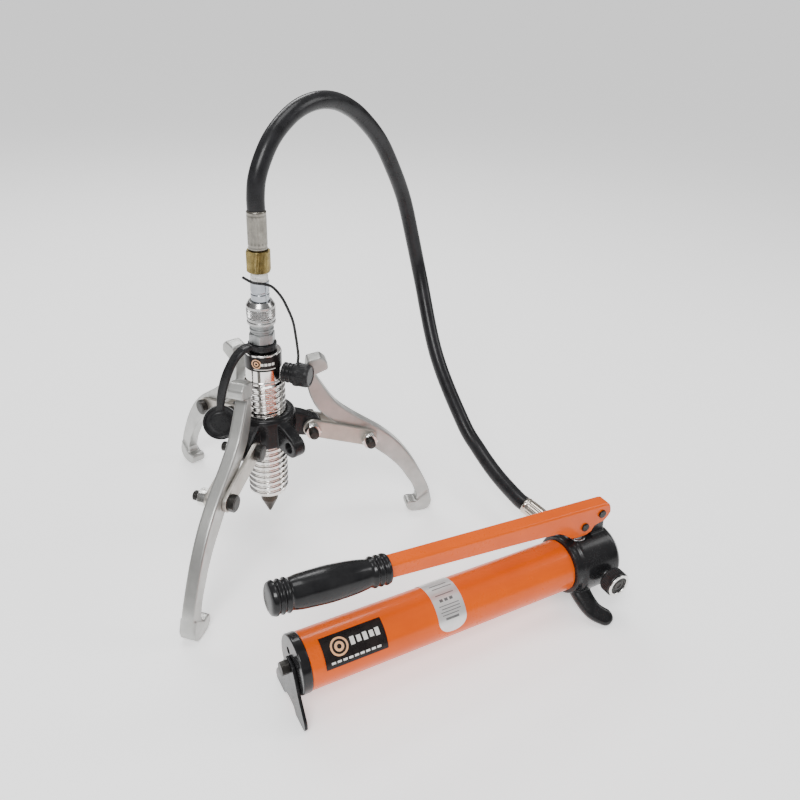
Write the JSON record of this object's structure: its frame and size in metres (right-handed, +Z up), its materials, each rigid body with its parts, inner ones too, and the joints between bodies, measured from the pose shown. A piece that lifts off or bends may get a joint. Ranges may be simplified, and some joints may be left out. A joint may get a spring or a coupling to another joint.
{
  "type": "hydraulic gear puller",
  "caption": "Hydraulic gear puller: a threaded ram cylinder with hinged jaws on a screw-on hub, joined by a hose to a lever hand pump.",
  "frame": {"origin": "middle of the footprint's box, on the floor", "axes": "+Z up; +X along the pump from its rear cap to its head; +Y from the pump towards the puller"},
  "size_m": [0.483, 0.5672, 0.5384],
  "materials": {
    "black_cast": "gloss black paint on a casting",
    "bolt_black": "black oxide",
    "brass": "machined",
    "chrome": "polished hard chrome",
    "hose_rubber": "smooth, semi-gloss",
    "jaw_satin": "satin, forged and shot blasted",
    "label_black": null,
    "nut_bright": "bright zinc",
    "orange_paint": "gloss orange enamel",
    "plate_silver": null,
    "rubber": "moulded, satin",
    "seal": "polyurethane seal",
    "spring_steel": "oil tempered",
    "steel": "bright zinc plate",
    "tape_white": "thread seal tape"
  },
  "bodies": {
    "frame": {"brass_nut": "brass", "cap_string": "rubber", "coupler_hex": "steel", "coupler_stem": "steel", "cylinder_barrel": "chrome", "cylinder_label": "label_black", "data_plate": "plate_silver", "filler_screw": "bolt_black", "foot_bolt": "bolt_black", "hanging_dust_cap": "rubber", "hose": "hose_rubber", "plunger_gland": "steel", "port_adapter": "steel", "puller_ferrule": "steel", "pump_ferrule": "steel", "pump_head": "black_cast", "pump_label": "label_black", "ram_gland": "steel", "rear_cap": "black_cast", "rear_foot": "black_cast", "reservoir_tube": "orange_paint", "strap_dust_cap": "rubber", "suction_pipe": "steel", "thread_tape": "tape_white"},
    "ram": {"ram_piston": "steel", "piston_seal": "seal", "cone_tip": "bolt_black", "return_spring": "spring_steel"},
    "hub_body": {"hub": "black_cast", "hub_right_bolt": "bolt_black", "hub_right_nut": "nut_bright", "hub_left_bolt": "bolt_black", "hub_left_nut": "nut_bright", "hub_front_bolt": "bolt_black", "hub_front_nut": "nut_bright"},
    "link_right": {"link_right_a": "jaw_satin", "link_right_b": "jaw_satin", "jaw_right_bolt": "bolt_black", "jaw_right_nut": "nut_bright"},
    "jaw_arm_right": {"jaw_right": "jaw_satin"},
    "link_left": {"link_left_a": "jaw_satin", "link_left_b": "jaw_satin", "jaw_left_bolt": "bolt_black", "jaw_left_nut": "nut_bright"},
    "jaw_arm_left": {"jaw_left": "jaw_satin"},
    "link_front": {"link_front_a": "jaw_satin", "link_front_b": "jaw_satin", "jaw_front_bolt": "bolt_black", "jaw_front_nut": "nut_bright"},
    "jaw_arm_front": {"jaw_front": "jaw_satin"},
    "sleeve": {"coupler_sleeve": "chrome"},
    "handle": {"lever": "orange_paint", "grip": "rubber", "fulcrum_pin": "bolt_black", "plunger_pin": "bolt_black"},
    "plunger_body": {"plunger": "steel"},
    "release_valve": {"valve_stem": "steel", "release_knob": "black_cast", "knob_bezel": "nut_bright"}
  },
  "joints": [
    {"name": "ram_stroke", "type": "slide", "parent": "frame", "child": "ram", "axis": [0, 0, -1], "range_m": [0, 0.05], "stiffness_N_per_m": 1000, "springref_m": -0.02, "deforming": ["return_spring"]},
    {"name": "hub_travel", "type": "slide", "parent": "frame", "child": "hub_body", "axis": [0, 0, 1], "range_m": [-0.075, 0]},
    {"name": "link_right_swing", "type": "hinge", "parent": "hub_body", "child": "link_right", "pos_m": [-0.02521, 0.05223, 0.153], "axis": [-0.247, -0.969, 0], "range_deg": [-30, 1.5]},
    {"name": "jaw_right_swing", "type": "hinge", "parent": "link_right", "child": "jaw_arm_right", "pos_m": [0.04505, 0.03432, 0.131], "axis": [-0.247, -0.969, 0], "range_deg": [-26, 1.5]},
    {"name": "link_left_swing", "type": "hinge", "parent": "hub_body", "child": "link_left", "pos_m": [-0.0933, 0.12033, 0.153], "axis": [0.969, 0.247, 0], "range_deg": [-30, 8]},
    {"name": "jaw_left_swing", "type": "hinge", "parent": "link_left", "child": "jaw_arm_left", "pos_m": [-0.11121, 0.19058, 0.131], "axis": [0.969, 0.247, 0], "range_deg": [-26, 3]},
    {"name": "link_front_swing", "type": "hinge", "parent": "hub_body", "child": "link_front", "pos_m": [-0.11858, 0.02598, 0.153], "axis": [-0.7157, 0.6984, 0], "range_deg": [-30, 8]},
    {"name": "jaw_front_swing", "type": "hinge", "parent": "link_front", "child": "jaw_arm_front", "pos_m": [-0.16922, -0.02591, 0.131], "axis": [-0.7157, 0.6984, 0], "range_deg": [-26, 3]},
    {"name": "sleeve_turn", "type": "hinge", "parent": "frame", "child": "sleeve", "pos_m": [-0.07947, 0.06606, 0.2965], "axis": [0, 0, 1], "continuous": true},
    {"name": "lever_pump", "type": "hinge", "parent": "frame", "child": "handle", "pos_m": [0.21953, -0.21534, 0.122], "axis": [0, 1, 0], "range_deg": [-5, 40]},
    {"name": "plunger_stroke", "type": "slide", "parent": "frame", "child": "plunger_body", "axis": [0, 0, 1], "range_m": [-0.003, 0.018]},
    {"name": "valve_turn", "type": "hinge", "parent": "frame", "child": "release_valve", "pos_m": [0.21553, -0.21534, 0.055], "axis": [0, -1, 0], "range_deg": [0, 270]}
  ],
  "couplings": [
    {"joint": "plunger_stroke", "follows": "lever_pump", "m_per_rad": 0.0247}
  ]
}
